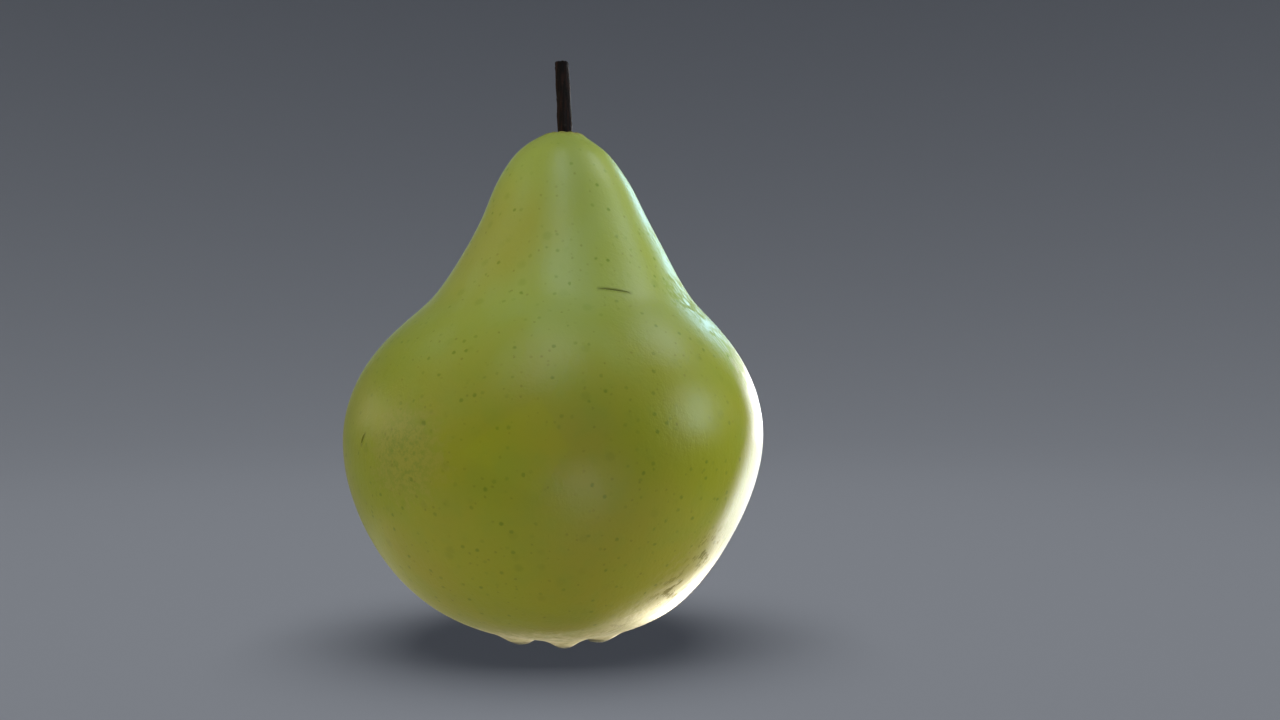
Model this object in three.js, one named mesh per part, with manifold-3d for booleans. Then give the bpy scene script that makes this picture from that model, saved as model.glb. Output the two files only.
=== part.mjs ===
// A ripe dessert pear, standing upright as it would on a table.
//
// Three pieces: the fruit (skin and flesh are one solid), the woody stem in its socket at the top,
// and the dried calyx in the basin underneath. Millimetres, +Z up. The pear stands on five low
// lobes round the calyx, each with a small flat at z = 0, and the origin is on that plane, under
// the middle of the pear's bounding box.
import * as THREE from "three";
import Module from "manifold-3d";
import { mergeVertices } from "three/addons/utils/BufferGeometryUtils.js";

const wasm = await Module();
wasm.setup();

const mix = THREE.MathUtils.lerp;
const smooth = THREE.MathUtils.smoothstep;
const degrees = THREE.MathUtils.degToRad;
const FULL_TURN = 2 * Math.PI;

// ---------------------------------------------------------------- driving dimensions, mm
const BELLY_RADIUS = 36.6;
const FRUIT_HEIGHT = 90;
const STEM_TIP_Z = 103.2;
const STEM_RADIUS = 1.2;
const FIT_GAP = 0.3; // between the fruit and what is set in it

const SOCKET_RADIUS = STEM_RADIUS + FIT_GAP + 0.1;
const SOCKET_FLOOR_Z = FRUIT_HEIGHT - 4.6;

const LOBE_COUNT = 5;
const LOBE_RING_RADIUS = 6.6; // where the lobes round the calyx stand
const LOBE_HEIGHT = 1.6;
const LOBE_TURN = degrees(-80); // where one of them stands
const LOBE_CROWDING = 1; // how much closer together they stand on one side
const LOBE_CROWDING_TURN = degrees(-45);
const BASIN_DEPTH = 4.2; // from the lobes' feet up to the basin's floor

// The fruit's half outline, from the stem's socket over the neck and belly to the calyx basin,
// as [radius, height].
const OUTLINE = [
  [0, SOCKET_FLOOR_Z],
  [SOCKET_RADIUS * 0.75, SOCKET_FLOOR_Z],
  [SOCKET_RADIUS, SOCKET_FLOOR_Z + 0.5],
  [SOCKET_RADIUS, FRUIT_HEIGHT - 1.5],
  [SOCKET_RADIUS + 0.25, FRUIT_HEIGHT - 0.6], // throat of the dimple
  [SOCKET_RADIUS + 1, FRUIT_HEIGHT], // crest round the stem
  [4.2, FRUIT_HEIGHT - 0.8],
  [7.3, 87.1],
  [9.4, 84.8],
  [11.95, 80.7], // neck
  [14.5, 75.0],
  [17.75, 68.8],
  [20.8, 63.5],
  [23.2, 60.0], // waist
  [26.9, 56.4],
  [30.4, 52.6], // shoulder
  [33.9, 47.3],
  [36.0, 41.5],
  [BELLY_RADIUS, 36.5],
  [35.85, 29.8],
  [32.9, 21.5],
  [27.7, 13.0],
  [20.8, 6.3],
  [14.2, 2.9],
  [9.6, 1.8],
  [LOBE_RING_RADIUS, LOBE_HEIGHT], // rim of the basin, between its lobes
  [5.3, 2.2],
  [4.5, 3.2],
  [3.0, BASIN_DEPTH - 0.15],
  [0, BASIN_DEPTH],
];

// How the fruit's middle wanders, as [height, sideways, forwards]: the neck grew off centre.
const SWAY = [
  [0, 1.05, -0.1],
  [10, -0.1, 0],
  [36, 0.15, 0],
  [50, 0.65, 0.2],
  [62, 1.6, 0.7],
  [72, 2.0, 0.9],
  [84, 1.45, 0.5],
  [91, 1.2, 0.2],
];

// How far the flesh departs from round, as shares of its radius.
const OVAL = 0.008;
const TREFOIL = 0.006;
const RIB = 0.018; // the ribs that rise out of the lobes
const RIB_FADE = [2, 26]; // heights between which they die out

// The stem's middle line, from inside the socket to the cut tip.
const STEM_LINE = new THREE.CatmullRomCurve3([
  new THREE.Vector3(2.0, -0.1, SOCKET_FLOOR_Z + FIT_GAP),
  new THREE.Vector3(1.86, 0, FRUIT_HEIGHT),
  new THREE.Vector3(1.62, 0.25, 96),
  new THREE.Vector3(1.2, 0.8, STEM_TIP_Z),
]);

// Shares of the stem's radius: at its foot, at its tip, and how far its outline waves.
const STEM_FOOT = 1.02;
const STEM_TOP = 0.93;
const STEM_WAVE = 0.03;

// The stem's cut end, as [share of the radius, depth below the tip].
const STEM_CUT = [
  [0.95, 0.3],
  [0.8, 0.05],
  [0.4, 0.02],
  [0, 0.1],
];

const SEPAL_LENGTH = 4.4;
const SEPAL_WIDTH = 2.4;
const SEPAL_THICKNESS = 0.6;
const CUP_RADIUS = 1.9;
const CUP_HEIGHT = 0.8;
const CUP_HOLLOW = 0.45; // how deep the cup is dished
const STAMEN_COUNT = 9;
const STAMEN_LENGTH = 1.5;
const STAMEN_RING_RADIUS = 1.25;

// How fine the facets are.
const RING_SPACING = 3; // along the fruit's outline
const FRUIT_SIDES = 60;
const STEM_SIDES = 16;
const STEM_STEP = 0.8;
const CUP_SIDES = 20;

// ---------------------------------------------------------------- small helpers
// A closed geometry's shared-vertex solid, for joining.
function solidOf(geometry) {
  const bare = new THREE.BufferGeometry();
  bare.setAttribute("position", geometry.getAttribute("position"));
  bare.setIndex(geometry.getIndex());
  const merged = mergeVertices(bare, 1e-4);
  return new wasm.Manifold(
    new wasm.Mesh({
      numProp: 3,
      vertProperties: merged.getAttribute("position").array,
      triVerts: new Uint32Array(merged.getIndex().array),
    }),
  );
}

function geometryOf(solid) {
  const mesh = solid.getMesh();
  const geometry = new THREE.BufferGeometry();
  geometry.setAttribute("position", new THREE.BufferAttribute(mesh.vertProperties, 3));
  geometry.setIndex(new THREE.BufferAttribute(mesh.triVerts, 1));
  return geometry;
}

// Moves every vertex of a geometry by a rule.
function reshape(geometry, rule) {
  const position = geometry.getAttribute("position");
  const point = new THREE.Vector3();
  for (let i = 0; i < position.count; i++) {
    rule(point.fromBufferAttribute(position, i));
    position.setXYZ(i, point.x, point.y, point.z);
  }
  return geometry;
}

// A closed solid of revolution round Z, from a half outline that runs from the lower end of the
// axis to the upper one.
function revolve(outline, sides) {
  return new THREE.LatheGeometry(outline, sides).rotateX(Math.PI / 2);
}

// The same numbers in the same order on every run, from 0 to 1.
function seededRandom(seed) {
  let state = seed;
  return () => {
    state = (state * 16807) % 2147483647;
    return state / 2147483647;
  };
}

// ---------------------------------------------------------------- the fruit
const swayCurve = new THREE.CubicInterpolant(
  SWAY.map(([height]) => height),
  SWAY.flatMap(([, sideways, forwards]) => [sideways, forwards]),
  2,
);

// The fruit's middle at a height.
function fruitMiddle(z) {
  const [sideways, forwards] = swayCurve.evaluate(z);
  return new THREE.Vector2(sideways, forwards);
}

// The stem's middle at a height.
function stemMiddle(z) {
  const foot = STEM_LINE.points[0].z;
  const share = THREE.MathUtils.clamp((z - foot) / (STEM_TIP_Z - foot), 0, 1);
  const middle = STEM_LINE.getPointAt(share);
  return new THREE.Vector2(middle.x, middle.y);
}

// The fruit's outline as a smooth curve, from the basin up to the socket, sampled so that no
// stretch is longer than RING_SPACING.
function smoothOutline() {
  const knots = OUTLINE.toReversed().map(([r, z]) => new THREE.Vector3(r, z, 0));
  const curve = new THREE.CatmullRomCurve3(knots, false, "centripetal");
  const outline = [];
  for (let i = 0; i < knots.length - 1; i++) {
    const steps = Math.max(2, Math.ceil(knots[i].distanceTo(knots[i + 1]) / RING_SPACING));
    for (let k = 0; k < steps; k++) {
      const point = curve.getPoint((i + k / steps) / (knots.length - 1));
      outline.push(new THREE.Vector2(Math.max(point.x, 0), point.y));
    }
  }
  outline.push(new THREE.Vector2(0, SOCKET_FLOOR_Z));
  return outline;
}

// A wave round the fruit that crests at every lobe. The lobes stand closer together on one side.
function lobeWave(turn) {
  const crowding = Math.sin(turn - LOBE_CROWDING_TURN) - Math.sin(LOBE_TURN - LOBE_CROWDING_TURN);
  return Math.cos(LOBE_COUNT * (turn - LOBE_TURN) + LOBE_CROWDING * crowding);
}

// How much the flesh swells at a turn and a height: a slightly oval and three-sided belly,
// and five soft ribs that rise out of the lobes.
function swelling(turn, z) {
  const oval = OVAL * Math.cos(2 * (turn - 0.3));
  const trefoil = TREFOIL * Math.cos(3 * turn + 0.9 + z * 0.02);
  const ribs = RIB * lobeWave(turn) * (1 - smooth(z, ...RIB_FADE));
  const body = smooth(z, 0.5, 8) * (1 - smooth(z, FRUIT_HEIGHT - 9, FRUIT_HEIGHT - 1));
  return 1 + (oval + trefoil) * body + ribs;
}

// How far a lobe reaches down at a turn, each one a little different.
function lobeDrop(turn) {
  const crest = 0.5 + 0.5 * lobeWave(turn);
  const uneven = 1.24 + 0.05 * Math.cos(turn - 0.6) + 0.04 * Math.cos(2 * turn + 1.1);
  return LOBE_HEIGHT * uneven * crest ** 1.6;
}

// Turns the round, upright body into the grown one. Round the stem it follows the stem's line,
// and what would reach below z = 0 is pressed flat there.
function shapeFruit(p) {
  const radius = Math.hypot(p.x, p.y);
  const turn = Math.atan2(p.y, p.x);
  const height = p.z;
  const nearStem = height > FRUIT_HEIGHT / 2 ? 1 - smooth(radius, 2.4, 5.2) : 0;
  const middle = fruitMiddle(height).lerp(stemMiddle(height), nearStem);
  const swell = mix(swelling(turn, height), 1, nearStem);
  const onRim = smooth(radius, 4.2, 6.2) * (1 - smooth(radius, 7.6, 12));
  const drop = height < FRUIT_HEIGHT / 2 ? lobeDrop(turn) * onRim : 0;
  p.x = middle.x + Math.cos(turn) * radius * swell;
  p.y = middle.y + Math.sin(turn) * radius * swell;
  p.z = Math.max(0, height - drop);
}

function makeFruit() {
  return reshape(revolve(smoothOutline(), FRUIT_SIDES), shapeFruit);
}

// ---------------------------------------------------------------- the stem
// A round bar along Z, bent along the stem's line, with blunt ridges down its length.
function makeStem() {
  const length = STEM_TIP_Z - SOCKET_FLOOR_Z - FIT_GAP;
  const outline = [new THREE.Vector2(0, 0), new THREE.Vector2(STEM_RADIUS * 0.8, 0)];
  for (let z = 0.35; z < length - 0.5; z += STEM_STEP) {
    const share = mix(STEM_FOOT, STEM_TOP, z / length) + STEM_WAVE * Math.sin(z * 1.1);
    outline.push(new THREE.Vector2(STEM_RADIUS * share, z));
  }
  for (const [share, depth] of STEM_CUT) {
    outline.push(new THREE.Vector2(STEM_RADIUS * share, length - depth));
  }
  return reshape(revolve(outline, STEM_SIDES), (p) => {
    const turn = Math.atan2(p.y, p.x);
    const ridges = 1 + 0.035 * Math.cos(3 * turn + p.z * 0.12) + 0.02 * Math.cos(5 * turn + 1);
    const middle = STEM_LINE.getPointAt(THREE.MathUtils.clamp(p.z / length, 0, 1));
    p.set(middle.x + p.x * ridges, middle.y + p.y * ridges, middle.z);
  });
}

// ---------------------------------------------------------------- the calyx
// One dried sepal: a blade that grows outwards along +X from the cup, narrows to a point, and
// curls downwards by an angle while it veers to one side.
function makeSepal(curl, veer) {
  const blade = new THREE.BoxGeometry(SEPAL_LENGTH, SEPAL_WIDTH, SEPAL_THICKNESS, 7, 4, 1);
  return reshape(blade, (p) => {
    const share = p.x / SEPAL_LENGTH + 0.5;
    const across = p.y * mix(0.75, 1, smooth(share, 0, 0.3)) * mix(1, 0.14, share ** 2);
    const cupped = 0.12 * across ** 2;
    const bend = curl * share;
    p.x = (SEPAL_LENGTH * Math.sin(bend)) / curl - Math.sin(bend) * p.z;
    p.y = across + veer * share ** 2;
    p.z = p.z * Math.cos(bend) - (SEPAL_LENGTH * (1 - Math.cos(bend))) / curl - cupped;
  });
}

// A withered stamen that hangs from the cup and leans a little.
function makeStamen(lean, tilt) {
  const stamen = new THREE.CylinderGeometry(0.22, 0.3, STAMEN_LENGTH, 5);
  stamen.rotateX(-Math.PI / 2).translate(0, 0, -STAMEN_LENGTH / 2);
  return stamen.rotateY(lean).rotateX(tilt);
}

function makeCup() {
  const outline = [
    [0, CUP_HOLLOW - CUP_HEIGHT],
    [0.7, CUP_HOLLOW - CUP_HEIGHT],
    [0.9, -CUP_HEIGHT],
    [CUP_RADIUS * 0.85, -CUP_HEIGHT],
    [CUP_RADIUS, -CUP_HEIGHT / 2],
    [CUP_RADIUS * 0.8, 0],
    [0, 0],
  ];
  return revolve(outline.map(([r, z]) => new THREE.Vector2(r, z)), CUP_SIDES);
}

// The dried flower on the basin's floor: a dished cup, five sepals and a ring of stamens.
function makeCalyx() {
  const random = seededRandom(7);
  let solid = solidOf(makeCup());
  for (let i = 0; i < LOBE_COUNT; i++) {
    const sepal = makeSepal(1 + 0.25 * random(), 0.5 * (random() - 0.5));
    sepal.translate(1, 0, -CUP_HEIGHT / 2);
    sepal.rotateZ(LOBE_TURN + ((i + 0.5) * FULL_TURN) / LOBE_COUNT);
    solid = solid.add(solidOf(sepal));
  }
  for (let i = 0; i < STAMEN_COUNT; i++) {
    const stamen = makeStamen(0.35 * (random() - 0.5), 0.35 * (random() - 0.5));
    stamen.translate(STAMEN_RING_RADIUS, 0, 0.3 - CUP_HEIGHT);
    stamen.rotateZ((i * FULL_TURN) / STAMEN_COUNT);
    solid = solid.add(solidOf(stamen));
  }
  const middle = fruitMiddle(BASIN_DEPTH);
  return geometryOf(solid).translate(middle.x, middle.y, BASIN_DEPTH - 0.15 - FIT_GAP);
}

// ---------------------------------------------------------------- the pear
function addPiece(group, name, geometry, color, roughness) {
  const material = new THREE.MeshStandardMaterial({ color, roughness, metalness: 0 });
  const mesh = new THREE.Mesh(geometry, material);
  mesh.name = name;
  group.add(mesh);
}

const pear = new THREE.Group();
addPiece(pear, "fruit", makeFruit(), 0x93a03a, 0.42);
addPiece(pear, "stem", makeStem(), 0x2e1c12, 0.7);
addPiece(pear, "calyx", makeCalyx(), 0x3a2a1a, 0.85);

const middle = new THREE.Box3().setFromObject(pear).getCenter(new THREE.Vector3());
pear.position.set(-middle.x, -middle.y, 0);

export default pear;
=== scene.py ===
import math
import random

import bmesh
import bpy
from mathutils import Matrix, Vector, noise
from mathutils.bvhtree import BVHTree


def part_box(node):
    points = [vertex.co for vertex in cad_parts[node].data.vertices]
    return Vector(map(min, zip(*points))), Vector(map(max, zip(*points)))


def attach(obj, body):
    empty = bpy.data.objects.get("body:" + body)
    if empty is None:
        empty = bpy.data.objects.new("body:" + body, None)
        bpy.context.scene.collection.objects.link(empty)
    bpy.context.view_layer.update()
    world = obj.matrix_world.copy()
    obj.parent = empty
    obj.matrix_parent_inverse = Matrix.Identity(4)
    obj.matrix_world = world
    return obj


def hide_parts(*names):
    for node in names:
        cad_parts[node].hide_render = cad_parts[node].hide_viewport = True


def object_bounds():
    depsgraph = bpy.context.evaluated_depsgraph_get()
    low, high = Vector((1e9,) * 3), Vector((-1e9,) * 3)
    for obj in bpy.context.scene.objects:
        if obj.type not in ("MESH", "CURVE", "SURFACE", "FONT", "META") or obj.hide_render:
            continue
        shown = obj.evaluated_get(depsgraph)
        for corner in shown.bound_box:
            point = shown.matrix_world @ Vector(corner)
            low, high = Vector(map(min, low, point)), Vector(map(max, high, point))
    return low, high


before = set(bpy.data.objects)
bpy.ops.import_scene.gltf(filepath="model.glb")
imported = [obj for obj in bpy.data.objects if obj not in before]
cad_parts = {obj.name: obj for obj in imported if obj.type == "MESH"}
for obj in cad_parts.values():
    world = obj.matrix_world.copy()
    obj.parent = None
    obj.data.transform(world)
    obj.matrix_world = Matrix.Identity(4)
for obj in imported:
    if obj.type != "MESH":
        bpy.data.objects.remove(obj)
cad_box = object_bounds()

FULL_TURN = 2 * math.pi
UP = Vector((0, 0, 1))
MM = 0.001
MERGE_DISTANCE = 1e-6

# A Mix node's sockets when it mixes colours.
SHARE, UNDER, OVER, MIXED = 0, 6, 7, 2

# ---------------------------------------------------------------- sizes from the frame, m
FRUIT_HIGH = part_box("fruit")[1]
STEM_LOW, STEM_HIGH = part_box("stem")
CALYX_LOW, CALYX_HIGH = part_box("calyx")
CALYX_MIDDLE = (CALYX_LOW + CALYX_HIGH) / 2

# ---------------------------------------------------------------- the view
CAMERA_PLACE = Vector((0.0151, -0.240, 0.04965))
LENS_MM = 37.79
SENSOR_MM = 36.0
NEAREST_SEEN = 0.01

# ---------------------------------------------------------------- the skin's form, m
FRUIT_LEVELS = 2  # a facet of the smoothed skin is under 1 mm
SKIN_GAIN = 0.00023  # what rounding and the dips below draw the skin in by
# Soft unevenness of the skin: how wide, how tall, how deep.
DIPS = [(0.017, 0.017, 0.00020), (0.0065, 0.0065, 0.00007), (0.0017, 0.0030, 0.000009)]
FOOT_SINK = 0.00016  # what rounding lifted the feet by
FOOT_BLEND = (0.001, 0.004)  # the heights between which the feet stop being let down

COLLAR_REACH = 0.0026  # where the flesh begins to close on the stem
COLLAR_EDGE = 0.0016  # where it has closed
COLLAR_CLOSE = 0.00050  # how far it is drawn in
COLLAR_PUCKERS = 13
COLLAR_PUCKER_SWAY = 1.3  # how unevenly the puckers stand
BASIN_FLOOR = 0.0022  # the radius at which the folds in the basin start
BASIN_WALL = 0.0040  # where they are whole
BASIN_RIM = 0.0066  # where they begin to fade
BASIN_OUTSIDE = 0.0099  # where they end
BASIN_TOP = 0.0045  # the height that they stay under
BASIN_PUCKERS = 15
BASIN_PUCKER_SWAY = 2
PUCKER_DEPTH = 0.00012
PUCKER_REACH = 0.0065

# Healed cuts in the skin: height and turn round the axis, length and width of the slit, how it
# leans from level, and how far it bows. Turns and leans are in degrees.
SCARS = [
    {"height": 0.0611, "turn": -61, "length": 0.0054, "width": 0.00024, "lean": -8, "bow": 0.0001},
    {"height": 0.0368, "turn": -143.6, "length": 0.0021, "width": 0.00028, "lean": 58, "bow": 0.0001},
]
SCAR_DEPTH = 0.00026
SCAR_END = 0.00003  # the width left at a slit's ends
SCAR_LIP = 0.00004
SCAR_LIP_REACH = (0.8, 1.6, 4)  # in half widths: where the lip starts, stands highest and ends
SCAR_SHADE = 0.0006  # how far the stain round a slit reaches
SCAR_STAIN = 0.35  # how strong the stain is beside the slit, where 1 is the slit itself
SCAR_REFINEMENTS = [0.0022, 0.0013, 0.0008]  # each halves the facets this close to a slit
SLIT_DEPTH_SHARE = 0.2  # how much a point's depth counts as distance from a slit
OUTSIDE = 0.1  # a distance from the axis that is surely outside the fruit

# ---------------------------------------------------------------- the stem's form, m
STEM_LEVELS = 3
STEM_SIDE = (0.0006, 0.0010)  # the radii between which the cut end turns into the side
STEM_GAIN = 0.00016  # what rounding draws the side in by
STEM_RIDGES = 5
STEM_RIDGE_SWAY = 1.5  # how unevenly the ridges stand
STEM_RIDGE_DEPTH = 0.00004
STEM_TWIST = 0.009  # the height over which the ridges turn by a radian
STEM_FIBRE = (0.00032, 0.0035)  # across and along
STEM_FIBRE_DEPTH = 0.00006
STEM_WART = 0.0011
STEM_WART_LEVEL = 0.3  # the noise above this makes a wart
STEM_WART_DEPTH = 0.00018
STEM_CUT = (0.00030, 0.00010)  # below the tip: where the cut end starts and where it is whole
STEM_CUT_GRAIN = 0.00035
STEM_CUT_DEPTH = 0.00018
STEM_CUT_SLANT = 0.10  # how far the cut falls away towards -X, as a share of the way

# ---------------------------------------------------------------- the dried flower's form, mm
FLOWER_SEED = 4
FLOWER_TOP = 0.05  # what the cup sinks into the basin's floor by
FLOWER_LEVELS = 1
# Radii and heights of the cup, from the middle underneath, over its rim, to the middle on top.
CUP_PROFILE = [
    (0, -0.4),
    (0.6, -0.38),
    (0.85, -0.75),
    (1.3, -0.9),
    (1.7, -0.75),
    (1.85, -0.4),
    (1.5, 0),
    (0, 0),
]
CUP_SIDES = 40
CUP_CRUMPLE = {"wide": 0.6, "deep": 0.08, "seed": 0}
# Where each axis of a crumple reads the noise, so that the axes differ.
CRUMPLE_OFFSETS = (Vector((0, 0, 0)), Vector((0, 31.7, 0)), Vector((0, 0, 47.3)))
SEPAL_SEEDS = (3, 8, 13, 18, 23)  # one for each sepal's crumple
SEPAL_GRID = (12, 6)  # cells along and across
SEPAL_TURN = -44  # degrees: the first stands between two lobes
SEPAL_START = 1.35  # from the cup's middle
SEPAL_DROP = 0.45
SEPAL_LENGTH = 3.9
SEPAL_WIDTH = 2.3
SEPAL_TIP = 0.04  # the half width left at the tip
SEPAL_TAPER = (1.6, 0.7)  # the powers that draw the outline in towards the tip
SEPAL_WAIST = 0.65  # the width where it leaves the cup, as a share of the widest
SEPAL_WAIST_END = 0.3  # as a share of the length
SEPAL_THICKNESS = 0.2
SEPAL_CURL = (0.95, 1.3)  # radians, least and most
SEPAL_ROLL = 0.35  # how far the sides roll, as a share of the half width
SEPAL_RIBS = 9  # how closely the ribs stand, radians of a wave to each side
SEPAL_RIB_DEPTH = 0.06
SEPAL_VEER = 0.5
SEPAL_CRUMPLE_WIDTH = 0.9
SEPAL_CRUMPLE = 0.22
SEPAL_CRUMPLE_WHOLE = 0.5  # as a share of the length
STAMENS = 13
STAMEN_SHIFT = 0.3  # how far one stands out of its even place, as a share of the spacing
STAMEN_RING = (0.75, 1.15)
STAMEN_ROOT = 0.1  # how deep one stands in the cup
STAMEN_LENGTH = (1.0, 1.6)
STAMEN_SIDES = 6
STAMEN_RADIUS = 0.09
STAMEN_TIP_RADIUS = STAMEN_RADIUS * 0.7
STAMEN_LEAN = 0.45
ANTHER_SIZE = (0.17, 0.17, 0.26)
ANTHER_ROUNDNESS = 2  # how often its facets are split

# ---------------------------------------------------------------- the skin's ground, mm
OLIVE = "#90961c"
OCHRE = "#959322"
MOSS = "#869226"
# How the ground drifts: how wide, between which two levels, how strongly, towards which colour.
DRIFTS = [(24, 0.38, 0.62, 1.0, OCHRE), (9, 0.5, 0.7, 0.45, MOSS), (2.4, 0.5, 0.75, 0.3, MOSS)]

NECK_GREEN = "#aab956"
# Painted highlight: pale upright bands on the neck that stand in for reflections of the lights.
NECK_PAINTED_HIGHLIGHT = "#aabb72"
NECK_RISE = (38.0, 66.0)  # the heights between which the belly's colour turns into the neck's
NECK_SHARE = 0.8
HIGHLIGHT_BAND_CELL = (8, 8, 70)  # how wide and long the neck's painted highlight bands are
HIGHLIGHT_BAND_LEVELS = (0.4, 0.7)  # of the noise: where a band starts and where it is whole
HIGHLIGHT_BAND_SHARE = 0.5

# Painted light from below: cream on the lowest lobes and the foot stands in for light that catches
# them from underneath.
PAINTED_UNDERLIGHT = "#d8cf9c"
UNDERLIGHT_RISE = (3.5, 8.5)  # the heights between which the painted light on the foot would end
UNDERLIGHT_FRAY = 7.0  # how far at most flecks pull its edge down
UNDERLIGHT_SHARE = 0.9
FLECK_WIDTH = 1.4

# ---------------------------------------------------------------- the skin's patches, mm
# What each kind of patch is like: how far its colour takes to fade out past its reach, how far
# at most a pattern pulls its edge in, and its share of the colour in its middle.
SUNNED_PATCH = {"edge": 13.0, "fray": 10.0, "share": 0.65}
RUBBED_PATCH = {"edge": 6.0, "fray": 20.0, "share": 0.55}
CREASED_PATCH = {"edge": 3.0, "fray": 14.0, "share": 1.0}
RUSSET_PATCH = {"edge": 2.0, "fray": 4.0, "share": 0.85, "blend": "LINEAR"}

SUNNED_OCHRE = "#a8a23f"
SUNNED_MIDDLE = (-11.0, -13.0, 70.0)
SUNNED_REACH = 9.0

RUBBED_PALE = "#9b9440"
RUBBED_OLIVE = "#738524"
RUBBED_BROWN = "#635e0e"
# Rubbed patches: place, reach, whether crumbs or streaks of a colour are left in them, the level
# of the pattern above which these show, and over how much of it they come in.
RUBBED = [
    ((-22.0, -29.5, 35.0), 14.0, "crumbs", RUBBED_OLIVE, 0.46, 0.18),
    ((26.0, -16.5, 18.0), 12.5, "streaks", RUBBED_BROWN, 0.53, 0.05),
    ((20.5, -16.5, 11.5), 12.5, "streaks", RUBBED_BROWN, 0.53, 0.05),
    ((11.0, -15.0, 5.0), 11.0, "streaks", RUBBED_BROWN, 0.53, 0.05),
]
RUBBED_GAIN = 1.5  # how much stronger than the patch itself its crumbs and streaks are
CRUMB_WIDTH = 1.3
STREAK_CELL = (2.6, 1.1, 1.1)
STREAK_LEAN = -math.pi / 4

# Fine creases along one shoulder. The skin between them lies in cells that lean.
CREASE_GREEN = "#94a64c"
CREASE_LEAN = -0.6
CREASE_CELL = (1.3, 1.3, 4.2)
# In cells: how far a crease wanders, how often, where it begins to fade and where it ends.
CREASE_WANDER = (0.7, 0.7, 0.7)
CREASE_BENDS = 1.5
CREASE_WIDTH = (0.04, 0.17)
CREASE_SHARE = 0.85
# The place and reach of each creased patch.
CREASED = [((14.6, -4.0, 69.0), 9.5), ((22.0, -7.5, 59.5), 11.0), ((30.0, -10.0, 50.0), 11.0)]

RUSSET = "#8a6a35"
STEM_RUSSET_REACH = 4.2
CALYX_RUSSET_REACH = 6.0

SCAR_OLIVE = "#333c06"

# ---------------------------------------------------------------- the skin's pores and relief, mm
# A tint is the share of each colour that a pore lets through.
GREEN_TINT = "#b0cb64"
BROWN_TINT = "#c2bc84"
# Pores: how far apart, radius, faintest, strongest, tint. Those below 0 don't show.
PORES = [
    (2.0, 0.42, -0.15, 0.7, GREEN_TINT),
    (1.4, 0.28, -0.3, 0.5, BROWN_TINT),
    (3.6, 1.0, -0.4, 0.26, GREEN_TINT),
]
PORE_RIM = (0.45, 1.15)  # in radii: where a pore begins to fade, and where it ends
PORE_WARP_WIDTH = 0.6
PORE_WARP = (0.3, 0.3, 0.3)
GRAIN_WIDTH = 0.45
WRINKLE_CELL = (1.2, 1.2, 2)
# How high the wrinkles and the pores stand, where 1 is the grain.
WRINKLE_HEIGHT = 1.8
PORE_HEIGHT = 0.3
PEEL_RELIEF = {"Strength": 0.32, "Distance": 0.08 * MM}
WAXY, DULL = 0.34, 0.85  # roughness with the wax on, and with it gone

# ---------------------------------------------------------------- the stem's and flower's looks, mm
BARK_BLACK = "#120d09"
BARK_RED = "#2e1a10"
BARK_GREY = "#3a322b"
BARK_RELIEF = {"Strength": 0.6, "Distance": 0.06 * MM}
# How wide each pattern is, and the levels of its noise between which its colour comes in.
FIBRE_CELL = (0.35, 0.35, 4)
FIBRE_LEVELS = (0.45, 0.7)
CORK_WIDTH = 0.7
CORK_LEVELS = (0.6, 0.75)
CORK_SHARE = 0.5
SEPAL_DARK = "#2c1e13"
SEPAL_PALE = "#6b5236"
SEPAL_RELIEF = {"Strength": 0.7, "Distance": 0.05 * MM}
MOTTLE_WIDTH = 1.5
MOTTLE_LEVELS = (0.35, 0.75)

# ---------------------------------------------------------------- the studio, m
FLOOR_RADIUS = 0.45
CURVE_RADIUS = 1.65
CURVE_STEPS = 24
WALL_HEIGHT = 2.4
BACKDROP_SIDES = 96
FLOOR_GAP = 0.00005  # the floor stays this far under the feet
PAPER = "#ccd1da"
AIR = "#e8eaee"
AIR_STRENGTH = 0.1

WHITE = "#ffffff"
SKY = "#dcecff"
ICE = "#b4e6ff"
WARM = "#fff2d4"
LIT_POINT = Vector((0, 0, 0.045))
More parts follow.
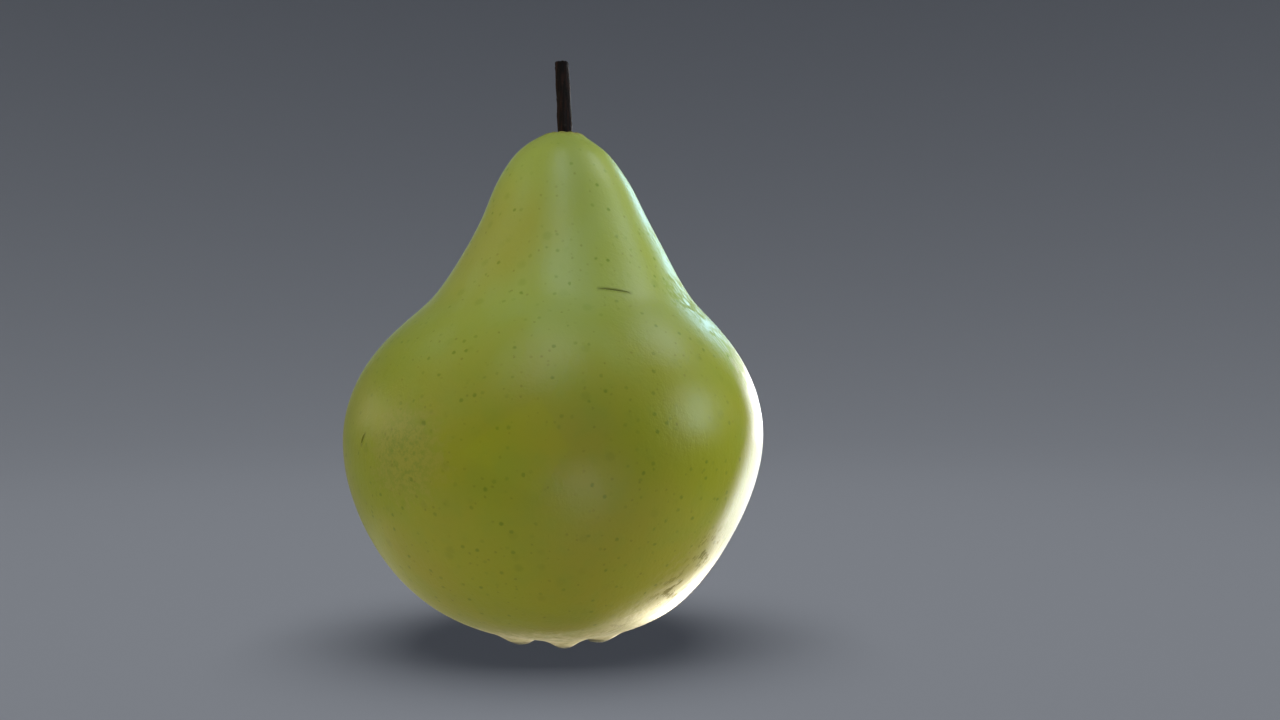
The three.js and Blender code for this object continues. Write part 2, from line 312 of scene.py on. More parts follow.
# Soft lights: how far round from the camera's side towards the right and how high they stand,
# in degrees, how far off, how wide and tall, how many watts, their colour, whether polarisers
# leave all, only the shine or only the body colour of what they light, and whether they light
# the pear or the paper. The low ones stand under the floor, which doesn't block them.
SOFTBOXES = [
    ("neck_window", 152, 22, 0.6, (0.10, 0.14), 0.48, ICE, "all", "pear"),
    ("rim_window", 152, 3, 0.6, (0.08, 0.16), 1.3, WHITE, "all", "pear"),
    ("rim_panel", 149, -13, 0.6, (0.10, 0.22), 4.8, WHITE, "shine", "pear"),
    ("low_rim_panel", 158.5, -32, 0.6, (0.08, 0.17), 3.5, WARM, "shine", "pear"),
    ("low_rim_window", 158, -40, 0.6, (0.14, 0.20), 0.9, WARM, "colour", "pear"),
    ("foot_window", 177, -34, 0.6, (0.14, 0.08), 0.6, WARM, "shine", "pear"),
    ("far_left_panel", -163, 6, 0.8, (0.25, 0.5), 0.12, SKY, "shine", "pear"),
    ("belly_box", 20, -28, 0.6, (0.15, 0.15), 0.6, WHITE, "shine", "pear"),
    ("right_fill", 108, 3, 0.9, (0.4, 0.5), 7.0, WHITE, "colour", "pear"),
    ("side_box", 82, 14, 0.6, (0.20, 0.24), 1.35, SKY, "shine", "pear"),
    ("overhead_panel", 105, 52, 0.9, (0.26, 0.30), 1.3, SKY, "all", "pear"),
    ("front_overhead_panel", -6, 62, 0.95, (0.22, 0.7), 1.8, SKY, "all", "pear"),
    ("left_panel", -97, 5, 1.0, (0.9, 0.5), 2.2, WARM, "all", "pear"),
    ("left_fill", -62, 24, 1.0, (0.8, 0.6), 2.6, WHITE, "colour", "pear"),
    ("front_panel", 10, 8, 1.0, (1.0, 0.7), 3.0, WHITE, "colour", "pear"),
    ("ceiling_panel", 0, 89, 1.1, (1.1, 1.1), 4.4, WHITE, "all", "paper"),
]
# A panel let into the floor that shines straight up, as on a light table.
GLOW_PLACE = (0.0, -0.012, 0.0006)
GLOW_SIZE = (0.15, 0.10)
GLOW_WATTS = 0.017


# ---------------------------------------------------------------- small helpers
def linear(code):
    """An sRGB hex colour as a linear one with full alpha."""
    shares = [int(code[i : i + 2], 16) / 255 for i in (1, 3, 5)]
    return (*(s / 12.92 if s <= 0.04045 else ((s + 0.055) / 1.055) ** 2.4 for s in shares), 1.0)


def ease(value, start, end):
    """Goes smoothly from 0 at start to 1 at end."""
    share = min(1.0, max(0.0, (value - start) / (end - start)))
    return share * share * (3 - 2 * share)


def add_object(name, data):
    """An object of the scene that shows a mesh, a light or a camera."""
    made = bpy.data.objects.new(name, data)
    bpy.context.scene.collection.objects.link(made)
    return made


def node_copy(name):
    """A CAD node's mesh with shared corners, in quads wherever two triangles make one."""
    shell = bmesh.new()
    shell.from_mesh(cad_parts[name].data)
    bmesh.ops.remove_doubles(shell, verts=shell.verts, dist=MERGE_DISTANCE)
    bmesh.ops.join_triangles(
        shell,
        faces=shell.faces,
        angle_face_threshold=math.pi,
        angle_shape_threshold=math.pi,
    )
    return shell


def turn_profile(shell, profile, sides, merge_distance):
    """Turns a line of radii and heights about the middle into a surface."""
    line = [shell.verts.new((radius, 0, height)) for radius, height in profile]
    edges = [shell.edges.new(pair) for pair in zip(line, line[1:])]
    bmesh.ops.spin(
        shell,
        geom=line + edges,
        cent=(0, 0, 0),
        axis=UP,
        angle=FULL_TURN,
        steps=sides,
        use_merge=True,
    )
    bmesh.ops.remove_doubles(shell, verts=shell.verts, dist=merge_distance)


def smoothed(shell, levels):
    """The shell after some levels of Catmull-Clark subdivision."""
    mesh = bpy.data.meshes.new("rough")
    shell.to_mesh(mesh)
    rough = add_object("rough", mesh)
    modifier = rough.modifiers.new("smooth", "SUBSURF")
    modifier.levels = levels
    modifier.render_levels = levels
    whole = rough.evaluated_get(bpy.context.evaluated_depsgraph_get())
    shell.clear()
    shell.from_mesh(whole.to_mesh())
    whole.to_mesh_clear()
    bpy.data.objects.remove(rough)
    bpy.data.meshes.remove(mesh)
    shell.normal_update()
    return shell


def add_piece(shell, name, material):
    """A finished shell as an object, in its material."""
    mesh = bpy.data.meshes.new(name)
    shell.to_mesh(mesh)
    shell.free()
    mesh.shade_smooth()
    mesh.materials.append(material)
    return add_object(name, mesh)


def show_piece(shell, name, material, node):
    """Makes a shell a piece of the pear that stands for a CAD node."""
    piece = add_piece(shell, name, material)
    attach(piece, "root")
    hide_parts(node)
    return piece


# ---------------------------------------------------------------- the stem's middle line
def ring_middles():
    """The middle of each ring of corners of the stem's solid, from the bottom up."""
    rings = {}
    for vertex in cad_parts["stem"].data.vertices:
        rings.setdefault(round(vertex.co.z, 5), []).append(vertex.co)
    return [sum(ring, Vector()) / len(ring) for _, ring in sorted(rings.items())]


STEM_MIDDLES = ring_middles()


def stem_middle(height):
    """The stem's middle at a height."""
    low, high = next(
        (pair for pair in zip(STEM_MIDDLES, STEM_MIDDLES[1:]) if height <= pair[1].z),
        STEM_MIDDLES[-2:],
    )
    share = (height - low.z) / (high.z - low.z)
    return low.lerp(high, min(1.0, max(0.0, share)))


STEM_FOOT = stem_middle(FRUIT_HIGH.z)


# ---------------------------------------------------------------- the fruit
def close_collar(shell):
    """Draws the flesh round the socket in until it meets the stem, with small puckers."""
    for vertex in shell.verts:
        p = vertex.co
        out = Vector((p.x - STEM_FOOT.x, p.y - STEM_FOOT.y, 0))
        if p.z < STEM_LOW.z - MM or out.length > PUCKER_REACH or out.length < MERGE_DISTANCE:
            continue
        turn = math.atan2(out.y, out.x)
        sway = COLLAR_PUCKER_SWAY * math.sin(2 * turn)
        fold = 0.5 + 0.5 * math.cos(COLLAR_PUCKERS * turn + sway)
        near = ease(out.length, PUCKER_REACH, COLLAR_REACH)
        near *= ease(out.length, COLLAR_EDGE, (COLLAR_EDGE + COLLAR_REACH) / 2)
        p.z -= PUCKER_DEPTH * fold * near
        closing = COLLAR_CLOSE * (1 - ease(out.length, COLLAR_EDGE, COLLAR_REACH))
        p -= out.normalized() * closing * ease(out.length, 0, COLLAR_EDGE)


def pucker_basin(shell):
    """Fine folds that run from the lobes into the basin round the dried flower."""
    for vertex in shell.verts:
        p = vertex.co
        out = Vector((p.x - CALYX_MIDDLE.x, p.y - CALYX_MIDDLE.y, 0))
        if p.z > BASIN_TOP or out.length > BASIN_OUTSIDE:
            continue
        turn = math.atan2(out.y, out.x)
        sway = BASIN_PUCKER_SWAY * math.sin(3 * turn)
        fold = 0.5 + 0.5 * math.sin(BASIN_PUCKERS * turn + sway)
        near = ease(out.length, BASIN_FLOOR, BASIN_WALL)
        near *= ease(out.length, BASIN_OUTSIDE, BASIN_RIM)
        p.z += PUCKER_DEPTH * fold * near


def soften_skin(shell):
    """Presses shallow dips and fine wrinkles into the skin, away from the stem's socket."""
    for vertex in shell.verts:
        p = vertex.co
        if p.z > STEM_LOW.z and (p - STEM_FOOT).xy.length < COLLAR_REACH:
            continue
        dip = sum(
            deep * (0.5 + 0.5 * noise.noise(Vector((p.x / wide, p.y / wide, p.z / tall))))
            for wide, tall, deep in DIPS
        )
        vertex.co = p + vertex.normal * (SKIN_GAIN - dip)


def set_feet(shell):
    """Presses the lobes flat on the ground."""
    for vertex in shell.verts:
        sink = FOOT_SINK * (1 - ease(vertex.co.z, *FOOT_BLEND))
        vertex.co.z = max(0.0, vertex.co.z - sink)


def keep_in_box(shell):
    """Holds back what would stand outside the box of the CAD part."""
    low, high = (Vector(corner) for corner in cad_box)
    for vertex in shell.verts:
        for axis in range(3):
            vertex.co[axis] = min(high[axis], max(low[axis], vertex.co[axis]))


class Slit:
    """A healed cut: its place and directions on the skin, for measuring how near a point is."""

    def __init__(self, shell, scar):
        turn = math.radians(scar["turn"])
        out = Vector((math.cos(turn), math.sin(turn), 0))
        level = Vector((0, 0, scar["height"]))
        tree = BVHTree.FromBMesh(shell)
        self.middle, self.normal, _, _ = tree.ray_cast(level + out * OUTSIDE, -out)
        side = UP.cross(self.normal).normalized()
        lean = Matrix.Rotation(math.radians(scar["lean"]), 3, self.normal)
        self.along = lean @ side
        self.across = self.normal.cross(self.along).normalized()
        self.half = scar["length"] / 2
        self.width = scar["width"] / 2
        self.bow = scar["bow"]

    def measure(self, p):
        """How far along the slit a point lies, -1 and 1 being its ends, and how far off it."""
        off = p - self.middle
        share = off.dot(self.along) / self.half
        line = self.bow * (1 - share * share)
        beyond = max(0.0, abs(share) - 1) * self.half
        deep = off.dot(self.normal) * SLIT_DEPTH_SHARE
        return share, math.hypot(off.dot(self.across) - line, beyond, deep)


def refine_skin(shell, slits):
    """Halves the facets near the slits, and again closer to them."""
    for reach in SCAR_REFINEMENTS:
        near = [v for v in shell.verts if any(slit.measure(v.co)[1] < reach for slit in slits)]
        faces = dict.fromkeys(face for vertex in near for face in vertex.link_faces)
        edges = dict.fromkeys(edge for face in faces for edge in face.edges)
        bmesh.ops.subdivide_edges(shell, edges=list(edges), cuts=1, smooth=1.0, use_grid_fill=True)
    shell.normal_update()


def cut_scars(shell):
    """Cuts the slits, each with a raised lip, and marks the skin that they stain."""
    slits = [Slit(shell, scar) for scar in SCARS]
    refine_skin(shell, slits)
    stain = shell.verts.layers.float.new("scar")
    lip_start, lip_high, lip_end = SCAR_LIP_REACH
    for slit in slits:
        for vertex in shell.verts:
            if (vertex.co - slit.middle).length > slit.half * 2:
                continue
            share, off = slit.measure(vertex.co)
            width = slit.width * max(0.0, 1 - share * share) + SCAR_END
            cut = 1 - ease(off, 0, width)
            lip = ease(off, width * lip_start, width * lip_high)
            lip *= 1 - ease(off, width * lip_high, width * lip_end)
            vertex.co -= vertex.normal * (SCAR_DEPTH * cut - SCAR_LIP * lip)
            shade = SCAR_STAIN * (1 - ease(off, width, SCAR_SHADE))
            if cut > 0:
                shade = min(1.0, SCAR_STAIN + (1 - SCAR_STAIN) * cut)
            vertex[stain] = max(vertex[stain], shade)


def make_fruit():
    """The fruit: the CAD solid smoothed, closed on its stem, with every fold, dip and scar."""
    shell = smoothed(node_copy("fruit"), FRUIT_LEVELS)
    close_collar(shell)
    pucker_basin(shell)
    shell.normal_update()
    soften_skin(shell)
    set_feet(shell)
    shell.normal_update()
    cut_scars(shell)
    keep_in_box(shell)
    return shell


# ---------------------------------------------------------------- the stem
def make_stem():
    """The stem: lengthwise ridges and fibres, a few warts and a rough cut end."""
    shell = smoothed(node_copy("stem"), STEM_LEVELS)
    across, along = STEM_FIBRE
    below, whole = STEM_CUT
    for vertex in shell.verts:
        p = vertex.co
        out = p - stem_middle(p.z)
        out.z = 0
        turn = math.atan2(out.y, out.x)
        sway = STEM_RIDGE_SWAY * math.sin(turn)
        ridge = math.cos(STEM_RIDGES * turn + sway + p.z / STEM_TWIST)
        fibre = noise.noise(Vector((p.x / across, p.y / across, p.z / along)))
        wart = max(0.0, noise.noise(p / STEM_WART) - STEM_WART_LEVEL)
        grow = STEM_GAIN + STEM_RIDGE_DEPTH * ridge
        grow += STEM_FIBRE_DEPTH * fibre
        grow += STEM_WART_DEPTH * wart
        vertex.co += out.normalized() * grow * ease(out.length, *STEM_SIDE)
        cut = ease(p.z, STEM_HIGH.z - below, STEM_HIGH.z - whole)
        grain = 0.5 + 0.5 * noise.noise(Vector((out.x, out.y, 0)) / STEM_CUT_GRAIN)
        vertex.co.z -= cut * (STEM_CUT_DEPTH * grain + STEM_CUT_SLANT * max(0.0, -out.x))
    keep_in_box(shell)
    shell.normal_update()
    return shell


# ---------------------------------------------------------------- the dried flower
def crumple(p, wide, deep, seed):
    """Moves a point a little, as drying tissue shrinks unevenly."""
    place = p / wide + Vector((seed, 0, 0))
    return p + deep * Vector([noise.noise(place + offset) for offset in CRUMPLE_OFFSETS])


def add_cup(shell):
    """The dished cup that the sepals and stamens stand on."""
    turn_profile(shell, CUP_PROFILE, CUP_SIDES, MERGE_DISTANCE / MM)
    for vertex in shell.verts:
        vertex.co = crumple(vertex.co, **CUP_CRUMPLE)


def sepal_point(share, across, curl, veer):
    """A point of a blade that narrows to its tip and curls down and in, with its sides rolled."""
    power, round_off = SEPAL_TAPER
    waist = SEPAL_WAIST + (1 - SEPAL_WAIST) * ease(share, 0, SEPAL_WAIST_END)
    half = 0.5 * SEPAL_WIDTH * (1 - share**power) ** round_off * waist
    bend = curl * share
    out = SEPAL_LENGTH * math.sin(bend) / curl
    down = SEPAL_LENGTH * (1 - math.cos(bend)) / curl
    side = across * max(half, SEPAL_TIP) + veer * share**2
    rib = SEPAL_RIB_DEPTH * math.cos(SEPAL_RIBS * across) * (1 - share)
    rolled = SEPAL_ROLL * half * across * across + rib
    p = Vector((SEPAL_START + out, side, -SEPAL_DROP - down))
    return p + Vector((math.sin(bend), 0, math.cos(bend))) * -rolled


def add_sepal(shell, turn, curl, veer, seed):
    """A curled and crumpled blade that grows outwards from the cup."""
    along, across = SEPAL_GRID
    made = bmesh.ops.create_grid(shell, x_segments=along, y_segments=across, size=0.5)["verts"]
    for vertex in made:
        share = vertex.co.x + 0.5
        p = sepal_point(share, 2 * vertex.co.y, curl, veer)
        deep = SEPAL_CRUMPLE * ease(share, 0, SEPAL_CRUMPLE_WHOLE)
        vertex.co = crumple(p, SEPAL_CRUMPLE_WIDTH, deep, seed)
    faces = list(dict.fromkeys(face for vertex in made for face in vertex.link_faces))
    bmesh.ops.recalc_face_normals(shell, faces=faces)
    thick = bmesh.ops.solidify(shell, geom=faces, thickness=SEPAL_THICKNESS)["geom"]
    corners = made + [item for item in thick if isinstance(item, bmesh.types.BMVert)]
    bmesh.ops.rotate(
        shell,
        verts=list(dict.fromkeys(corners)),
        cent=(0, 0, 0),
        matrix=Matrix.Rotation(turn, 3, "Z"),
    )


def add_stamen(shell, turn, ring, length, lean, tilt):
    """A withered thread that hangs from the cup, with its dried anther at the end."""
    root = CUP_PROFILE[1][1] + STAMEN_ROOT
    place = Matrix.Rotation(turn, 4, "Z") @ Matrix.Translation((ring, 0, root))
    place = place @ Matrix.Rotation(lean, 4, "Y") @ Matrix.Rotation(tilt, 4, "X")
    bmesh.ops.create_cone(
        shell,
        cap_ends=True,
        segments=STAMEN_SIDES,
        radius1=STAMEN_TIP_RADIUS,
        radius2=STAMEN_RADIUS,
        depth=length,
        matrix=place @ Matrix.Translation((0, 0, -length / 2)),
    )
    bmesh.ops.create_icosphere(
        shell,
        subdivisions=ANTHER_ROUNDNESS,
        radius=1.0,
        matrix=place @ Matrix.Translation((0, 0, -length)) @ Matrix.Diagonal((*ANTHER_SIZE, 1)),
    )


def make_flower():
    """The dried flower on the basin's floor: a cup, five curled sepals and a ring of stamens."""
    draw = random.Random(FLOWER_SEED)
    shell = bmesh.new()
    add_cup(shell)
    for i, seed in enumerate(SEPAL_SEEDS):
        turn = math.radians(SEPAL_TURN + i * 360 / len(SEPAL_SEEDS))
        curl = draw.uniform(*SEPAL_CURL)
        veer = draw.uniform(-1, 1) * SEPAL_VEER
        add_sepal(shell, turn, curl, veer, seed)
    for i in range(STAMENS):
        turn = (i + draw.uniform(-STAMEN_SHIFT, STAMEN_SHIFT)) * FULL_TURN / STAMENS
        ring = draw.uniform(*STAMEN_RING)
        length = draw.uniform(*STAMEN_LENGTH)
        lean = draw.uniform(-1, 1) * STAMEN_LEAN
        tilt = draw.uniform(-1, 1) * STAMEN_LEAN
        add_stamen(shell, turn, ring, length, lean, tilt)
    bmesh.ops.recalc_face_normals(shell, faces=shell.faces)
    smoothed(shell, FLOWER_LEVELS)
    bmesh.ops.scale(shell, verts=shell.verts, vec=(MM, MM, MM))
    top = Vector((CALYX_MIDDLE.x, CALYX_MIDDLE.y, CALYX_HIGH.z + FLOWER_TOP * MM))
    bmesh.ops.translate(shell, verts=shell.verts, vec=top)
    return shell


# ---------------------------------------------------------------- what the materials share
def new_material(name):
    """An empty material, and its node tree."""
    material = bpy.data.materials.new(name)
    material.use_nodes = True
    material.node_tree.nodes.clear()
    return material, material.node_tree


def add_node(tree, kind, output, inputs, **settings):
    """Adds a shader node. Each input is a value or another node's socket. Gives one output, or
    the node itself where none is named."""
    made = tree.nodes.new("ShaderNode" + kind)
    for name, value in settings.items():
        setattr(made, name, value)
    for key, value in inputs.items():
        if isinstance(value, bpy.types.NodeSocket):
            tree.links.new(value, made.inputs[key])
        else:
            made.inputs[key].default_value = value
    return made.outputs[output] if output is not None else made


def millimetres(tree):
    """The place of a point on its piece, in millimetres."""
    place = add_node(tree, "TexCoord", "Object", {})
    return add_node(tree, "VectorMath", "Vector", {0: place, "Scale": 1 / MM}, operation="SCALE")


def scale_for(cell):
    """The scale that gives a pattern cells of this size."""
    return tuple(1 / size for size in cell)


def patch(tree, place, pattern, middle, reach, edge, fray, share, blend="SMOOTHSTEP"):
    """A patch's share of the colour: it fades past its reach, and a pattern frays its edge."""
    off = add_node(tree, "VectorMath", "Value", {0: place, 1: middle}, operation="DISTANCE")
    frayed = add_node(tree, "Math", 0, {0: pattern, 1: fray, 2: off}, operation="MULTIPLY_ADD")
    limits = {"Value": frayed, "From Min": reach + edge, "From Max": reach, "To Max": share}
    return add_node(tree, "MapRange", 0, limits, interpolation_type=blend)


def paint(tree, ground, marks, blend="MIX"):
    """The ground's colour with each mark's colour over it, from the lowest mark up."""
    for share, colour in marks:
        mixing = {SHARE: share, UNDER: ground, OVER: linear(colour)}
        ground = add_node(tree, "Mix", MIXED, mixing, data_type="RGBA", blend_type=blend)
    return ground


def give_finish(tree, finish):
    """Ends a material with its finish."""
    shader = add_node(tree, "BsdfPrincipled", "BSDF", finish)
    add_node(tree, "OutputMaterial", None, {"Surface": shader})


# ---------------------------------------------------------------- the skin's material
def drift_marks(tree, place):
    """The ground drifts between olive, ochre and moss green over a few centimetres."""
    marks = []
    for width, start, end, strongest, colour in DRIFTS:
        drift = add_node(tree, "TexNoise", "Fac", {"Vector": place, "Scale": 1 / width, "Detail": 3.0})
        limits = {"Value": drift, "From Min": start, "From Max": end, "To Max": strongest}
        marks.append((add_node(tree, "MapRange", 0, limits), colour))
    return marks


def neck_and_highlight_marks(tree, place, height):
    """The neck is paler and greener, with broad upright bands of painted highlight that are paler
    still, and one side of it has turned a warm ochre in the sun."""
    start, whole = NECK_RISE
    limits = {"Value": height, "From Min": start, "From Max": whole, "To Max": NECK_SHARE}
    neck = add_node(tree, "MapRange", 0, limits, interpolation_type="SMOOTHSTEP")
    upright = add_node(tree, "Mapping", "Vector", {"Vector": place, "Scale": scale_for(HIGHLIGHT_BAND_CELL)})
    band = add_node(tree, "TexNoise", "Fac", {"Vector": upright, "Scale": 1.0, "Detail": 1.0})
    start, whole = HIGHLIGHT_BAND_LEVELS
    limits = {"Value": band, "From Min": start, "From Max": whole, "To Max": HIGHLIGHT_BAND_SHARE}
    highlight_bands = add_node(tree, "MapRange", 0, limits)
    # painted highlight bands, only on the neck
    pale = add_node(tree, "Math", 0, {0: highlight_bands, 1: neck}, operation="MULTIPLY")
    sunned = patch(tree, place, band, SUNNED_MIDDLE, SUNNED_REACH, **SUNNED_PATCH)
    return [(neck, NECK_GREEN), (pale, NECK_PAINTED_HIGHLIGHT), (sunned, SUNNED_OCHRE)]


def painted_underlight_mark(tree, height, fleck):
    """Painted light from below: the skin is painted creamy where the fruit stands, with a ragged edge.
    """
    whole, end = UNDERLIGHT_RISE
    frayed = {0: fleck, 1: UNDERLIGHT_FRAY, 2: height}
    frayed = add_node(tree, "Math", 0, frayed, operation="MULTIPLY_ADD")
    limits = {"Value": frayed, "From Min": end, "From Max": whole, "To Max": UNDERLIGHT_SHARE}
    return add_node(tree, "MapRange", 0, limits, interpolation_type="SMOOTHSTEP"), PAINTED_UNDERLIGHT


def rubbed_marks(tree, place, crumbs):
    """Rubbed patches, paler, with darker crumbs or streaks left in them. The streaks run up the
    side. Gives every mark, and the streaks alone."""
    leaning = {"Vector": place, "Rotation": (0, STREAK_LEAN, 0), "Scale": STREAK_CELL}
    along = add_node(tree, "Mapping", "Vector", leaning, vector_type="TEXTURE")
    pattern = {"Vector": along, "Scale": 1.0, "Detail": 6.0, "Roughness": 0.7}
    patterns = {"streaks": add_node(tree, "TexNoise", "Fac", pattern), "crumbs": crumbs}
    marks = []
    streaks = []
    for middle, reach, kind, left, bare, soft in RUBBED:
        rubbed = patch(tree, place, patterns[kind], middle, reach, **RUBBED_PATCH)
        limits = {"Value": patterns[kind], "From Min": bare, "From Max": bare + soft}
        spot = add_node(tree, "MapRange", 0, {**limits, "To Max": RUBBED_GAIN})
        spot = add_node(tree, "Math", 0, {0: spot, 1: rubbed}, operation="MULTIPLY", use_clamp=True)
        marks += [(rubbed, RUBBED_PALE), (spot, left)]
        if kind == "streaks":
            streaks.append((spot, left))
    return marks, streaks


def crease_marks(tree, place, crumbs):
    """Fine creases in the peel along one shoulder, darker than the skin between them."""
    leaning = {"Vector": place, "Rotation": (0, CREASE_LEAN, 0), "Scale": CREASE_CELL}
    along = add_node(tree, "Mapping", "Vector", leaning, vector_type="TEXTURE")
    wander = add_node(tree, "TexNoise", "Color", {"Vector": along, "Scale": CREASE_BENDS})
    wander = {0: wander, 1: CREASE_WANDER, 2: along}
    wandered = add_node(tree, "VectorMath", 0, wander, operation="MULTIPLY_ADD")
    cells = {"Vector": wandered, "Scale": 1.0}
    edge = add_node(tree, "TexVoronoi", "Distance", cells, feature="DISTANCE_TO_EDGE")
    whole, end = CREASE_WIDTH
    limits = {"Value": edge, "From Min": end, "From Max": whole, "To Max": CREASE_SHARE}
    crease = add_node(tree, "MapRange", 0, limits)
    marks = []
    for middle, reach in CREASED:
        near = patch(tree, place, crumbs, middle, reach, **CREASED_PATCH)
        share = add_node(tree, "Math", 0, {0: crease, 1: near}, operation="MULTIPLY", use_clamp=True)
        marks.append((share, CREASE_GREEN))
    return marks


def russet_marks(tree, place, fleck):
    """Brown russet in the dimple round the stem and in the basin round the dried flower."""
    patches = [(STEM_FOOT, STEM_RUSSET_REACH), (CALYX_MIDDLE, CALYX_RUSSET_REACH)]
    return [
        (patch(tree, place, fleck, middle / MM, reach, **RUSSET_PATCH), RUSSET)
        for middle, reach in patches
    ]


def pore_marks(tree, place):
    """Pores: small green or brownish dots with soft rims, each of its own strength."""
    warp = {"Vector": place, "Scale": 1 / PORE_WARP_WIDTH, "Detail": 1.0}
    warp = {0: add_node(tree, "TexNoise", "Color", warp), 1: PORE_WARP, 2: place}
    warped = add_node(tree, "VectorMath", 0, warp, operation="MULTIPLY_ADD")
    whole, end = PORE_RIM
    marks = []
    for spacing, radius, faintest, strongest, tint in PORES:
        cells = add_node(tree, "TexVoronoi", "Distance", {"Vector": warped, "Scale": 1 / spacing})
        chance = add_node(tree, "SeparateColor", "Red", {0: cells.node.outputs["Color"]})
        limits = {"Value": chance, "To Min": faintest, "To Max": strongest}
        strength = add_node(tree, "MapRange", 0, limits)
        size = radius / spacing
        limits = {"Value": cells, "From Min": end * size, "From Max": whole * size}
        dot = add_node(tree, "MapRange", 0, limits, interpolation_type="SMOOTHSTEP")
        share = add_node(tree, "Math", 0, {0: dot, 1: strength}, operation="MULTIPLY", use_clamp=True)
        marks.append((share, tint))
    return marks


def peel_relief(tree, place, pore):
    """The grain of the peel, fine upright wrinkles, and the raised pores."""
    grain = {"Vector": place, "Scale": 1 / GRAIN_WIDTH, "Detail": 2.0}
    grain = add_node(tree, "TexNoise", "Fac", grain)
    upright = add_node(tree, "Mapping", "Vector", {"Vector": place, "Scale": scale_for(WRINKLE_CELL)})
    wrinkle = add_node(tree, "TexNoise", "Fac", {"Vector": upright, "Scale": 1.0, "Detail": 3.0})
    relief = grain
    for pattern, high in [(wrinkle, WRINKLE_HEIGHT), (pore, PORE_HEIGHT)]:
        inputs = {0: pattern, 1: high, 2: relief}
        relief = add_node(tree, "Math", 0, inputs, operation="MULTIPLY_ADD")
    return add_node(tree, "Bump", 0, {**PEEL_RELIEF, "Height": relief})


def pear_skin():
    """Ripe pear skin: thin peel with a film of wax over pale flesh. It lets light a little way in
    and shines broadly and softly, and it is dull where the wax is gone: on streaks, creases and
    russet."""
    material, tree = new_material("waxy_pear_skin")
    place = millimetres(tree)
    height = add_node(tree, "SeparateXYZ", "Z", {0: place})
    pattern = {"Vector": place, "Scale": 1 / FLECK_WIDTH, "Detail": 4.0}
    fleck = add_node(tree, "TexNoise", "Fac", pattern)
    pattern = {"Vector": place, "Scale": 1 / CRUMB_WIDTH, "Detail": 6.0, "Roughness": 0.8}
    crumbs = add_node(tree, "TexNoise", "Fac", pattern)

    ground = paint(tree, linear(OLIVE), drift_marks(tree, place))
    ground = paint(tree, ground, neck_and_highlight_marks(tree, place, height))
    # the creamy foot is painted light from below
    ground = paint(tree, ground, [painted_underlight_mark(tree, height, fleck)])
    rubbed, streaks = rubbed_marks(tree, place, crumbs)
    creases = crease_marks(tree, place, crumbs)
    russet = russet_marks(tree, place, fleck)
    ground = paint(tree, ground, rubbed + creases + russet)
    pores = pore_marks(tree, place)
    ground = paint(tree, ground, pores, "MULTIPLY")
    scar = add_node(tree, "Attribute", "Fac", {}, attribute_name="scar")
    ground = paint(tree, ground, [(scar, SCAR_OLIVE)])

    dull = 0.0
    for share, _ in streaks + creases + russet:
        dull = add_node(tree, "Math", 0, {0: share, 1: dull}, operation="MAXIMUM")
    shine = add_node(tree, "MapRange", 0, {"Value": dull, "To Min": WAXY, "To Max": DULL})
    finish = {
        "Base Color": ground,
        "Roughness": shine,
        "IOR": 1.45,
        "Specular IOR Level": 0.32,
        "Subsurface Weight": 0.2,
        "Subsurface Radius": (1.0, 0.8, 0.25),
        "Subsurface Scale": 0.0015,
        "Coat Weight": 0.05,
        "Coat Roughness": 0.4,
        "Normal": peel_relief(tree, place, pores[0][0]),
    }
    give_finish(tree, finish)
    return material


# ---------------------------------------------------------------- the other materials
def stem_bark():
    """Dried stem: near-black bark with reddish-brown fibres along it and patches of grey cork,
    dull and a little rough."""
    material, tree = new_material("dried_stem_bark")
    place = millimetres(tree)
    along = add_node(tree, "Mapping", "Vector", {"Vector": place, "Scale": scale_for(FIBRE_CELL)})
    fibre = add_node(tree, "TexNoise", "Fac", {"Vector": along, "Scale": 1.0, "Detail": 4.0})
    start, whole = FIBRE_LEVELS
    red = add_node(tree, "MapRange", 0, {"Value": fibre, "From Min": start, "From Max": whole})
    pattern = {"Vector": place, "Scale": 1 / CORK_WIDTH, "Detail": 2.0}
    cork = add_node(tree, "TexNoise", "Fac", pattern)
    start, whole = CORK_LEVELS
    limits = {"Value": cork, "From Min": start, "From Max": whole, "To Max": CORK_SHARE}
    grey = add_node(tree, "MapRange", 0, limits)
    colour = paint(tree, linear(BARK_BLACK), [(red, BARK_RED), (grey, BARK_GREY)])
    bump = add_node(tree, "Bump", 0, {**BARK_RELIEF, "Height": fibre})
    finish = {"Base Color": colour, "Roughness": 0.75, "Specular IOR Level": 0.15, "Normal": bump}
    give_finish(tree, finish)
    return material


def dried_sepal():
    """Dried sepals, cup and stamens: brown papery tissue, mottled dark and pale, and matt."""
    material, tree = new_material("dried_sepal_tissue")
    place = millimetres(tree)
    pattern = {"Vector": place, "Scale": 1 / MOTTLE_WIDTH, "Detail": 5.0}
    mottle = add_node(tree, "TexNoise", "Fac", pattern)
    start, whole = MOTTLE_LEVELS
    pale = add_node(tree, "MapRange", 0, {"Value": mottle, "From Min": start, "From Max": whole})
    colour = paint(tree, linear(SEPAL_DARK), [(pale, SEPAL_PALE)])
    bump = add_node(tree, "Bump", 0, {**SEPAL_RELIEF, "Height": mottle})
    finish = {"Base Color": colour, "Roughness": 0.85, "Specular IOR Level": 0.25, "Normal": bump}
    give_finish(tree, finish)
    return material


def backdrop_paper():
    """Matt paper, pale and a little cool, with no shine."""
    material, tree = new_material("matt_backdrop_paper")
    finish = {"Base Color": linear(PAPER), "Roughness": 0.95, "Specular IOR Level": 0.0}
    give_finish(tree, finish)
    return material


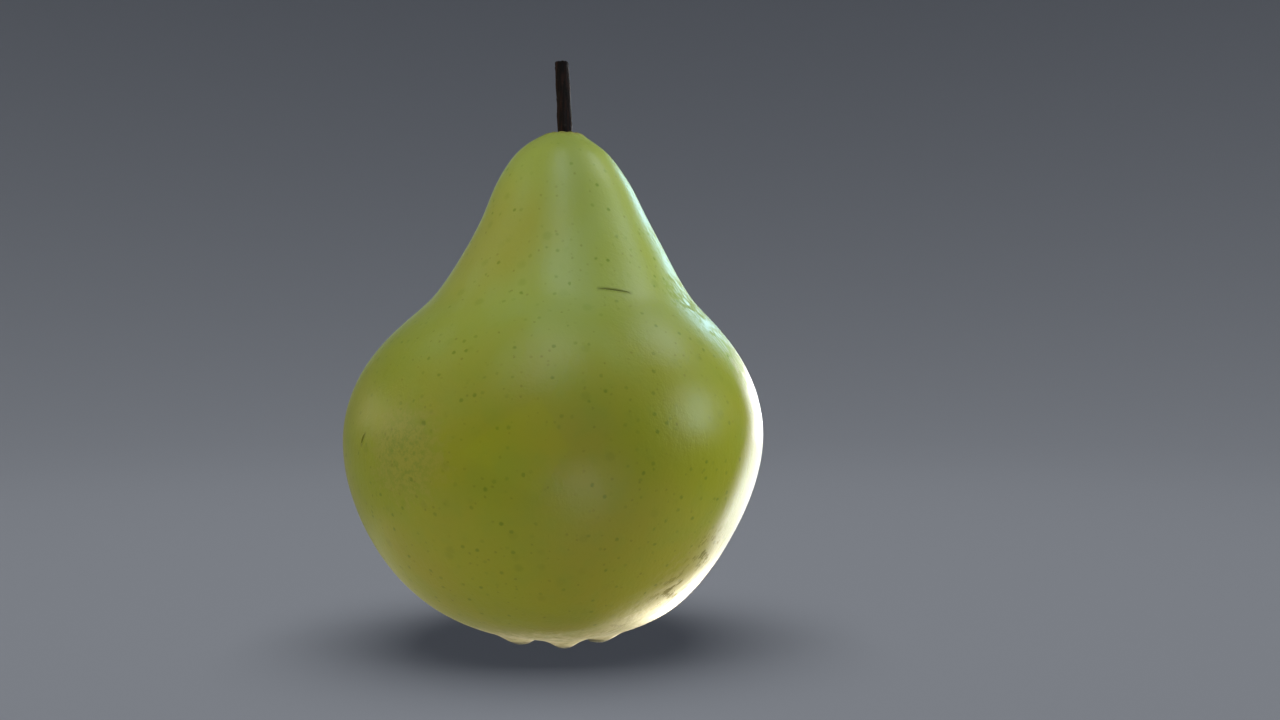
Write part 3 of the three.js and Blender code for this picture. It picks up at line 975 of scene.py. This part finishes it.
# ---------------------------------------------------------------- making the pieces
pear = [
    show_piece(make_fruit(), "pear_fruit", pear_skin(), "fruit"),
    show_piece(make_stem(), "pear_stem", stem_bark(), "stem"),
    show_piece(make_flower(), "pear_calyx", dried_sepal(), "calyx"),
]


# ---------------------------------------------------------------- the studio
def make_backdrop():
    """A floor that curves up into a wall all round."""
    profile = [(0, 0), (FLOOR_RADIUS, 0)]
    for i in range(1, CURVE_STEPS + 1):
        angle = math.radians(90 * i / CURVE_STEPS)
        rise = CURVE_RADIUS * (1 - math.cos(angle))
        profile.append((FLOOR_RADIUS + CURVE_RADIUS * math.sin(angle), rise))
    profile.append((FLOOR_RADIUS + CURVE_RADIUS, WALL_HEIGHT))
    shell = bmesh.new()
    turn_profile(shell, profile, BACKDROP_SIDES, MERGE_DISTANCE)
    bmesh.ops.recalc_face_normals(shell, faces=shell.faces)
    backdrop = add_piece(shell, "backdrop", backdrop_paper())
    backdrop.location.z = -FLOOR_GAP
    return backdrop


def add_lamp(name, size, watts, colour, place):
    """A soft rectangular light that the camera doesn't see."""
    data = bpy.data.lights.new(name, "AREA")
    data.shape = "RECTANGLE"
    data.size, data.size_y = size
    data.energy = watts
    data.color = linear(colour)[:3]
    lamp = add_object(name, data)
    lamp.location = place
    lamp.visible_camera = False
    return lamp


def add_softbox(name, turn, rise, far, size, watts, colour, shows, lights):
    """A soft light that looks at the pear's middle."""
    turn = math.radians(turn)
    rise = math.radians(rise)
    level = math.cos(rise)
    away = Vector((math.sin(turn) * level, -math.cos(turn) * level, math.sin(rise)))
    lamp = add_lamp(name, size, watts, colour, LIT_POINT + away * far)
    lamp.rotation_euler = (-away).to_track_quat("-Z", "Y").to_euler()
    lamp.visible_glossy = shows != "colour"
    lamp.visible_diffuse = shows != "shine"
    if lights == "pear":
        lamp.light_linking.receiver_collection = pear_alone
        lamp.light_linking.blocker_collection = pear_alone
    if lights == "paper":
        lamp.light_linking.receiver_collection = paper_alone


def add_floor_glow():
    """The panel in the floor that lights the pear from below."""
    lamp = add_lamp("foot_glow", GLOW_SIZE, GLOW_WATTS, WARM, GLOW_PLACE)
    lamp.rotation_euler = (math.pi, 0, 0)


def fill_air():
    """A little light from all sides."""
    world = bpy.data.worlds.new("studio_air")
    world.use_nodes = True
    air = world.node_tree.nodes["Background"].inputs
    air["Color"].default_value = linear(AIR)
    air["Strength"].default_value = AIR_STRENGTH
    bpy.context.scene.world = world


def set_camera():
    """A level camera in front of the pear."""
    data = bpy.data.cameras.new("camera")
    data.lens = LENS_MM
    data.sensor_width = SENSOR_MM
    data.clip_start = NEAREST_SEEN
    camera = add_object("camera", data)
    camera.location = CAMERA_PLACE
    camera.rotation_euler = (math.radians(90), 0, 0)
    bpy.context.scene.camera = camera


pear_alone = bpy.data.collections.new("pear_alone")
for piece in pear:
    pear_alone.objects.link(piece)
    piece.visible_diffuse = False  # the rim lights would otherwise leave a green glow on the floor
paper_alone = bpy.data.collections.new("paper_alone")
paper_alone.objects.link(make_backdrop())
for softbox in SOFTBOXES:
    add_softbox(*softbox)
add_floor_glow()
fill_air()
bpy.context.scene.view_settings.view_transform = "Standard"
set_camera()
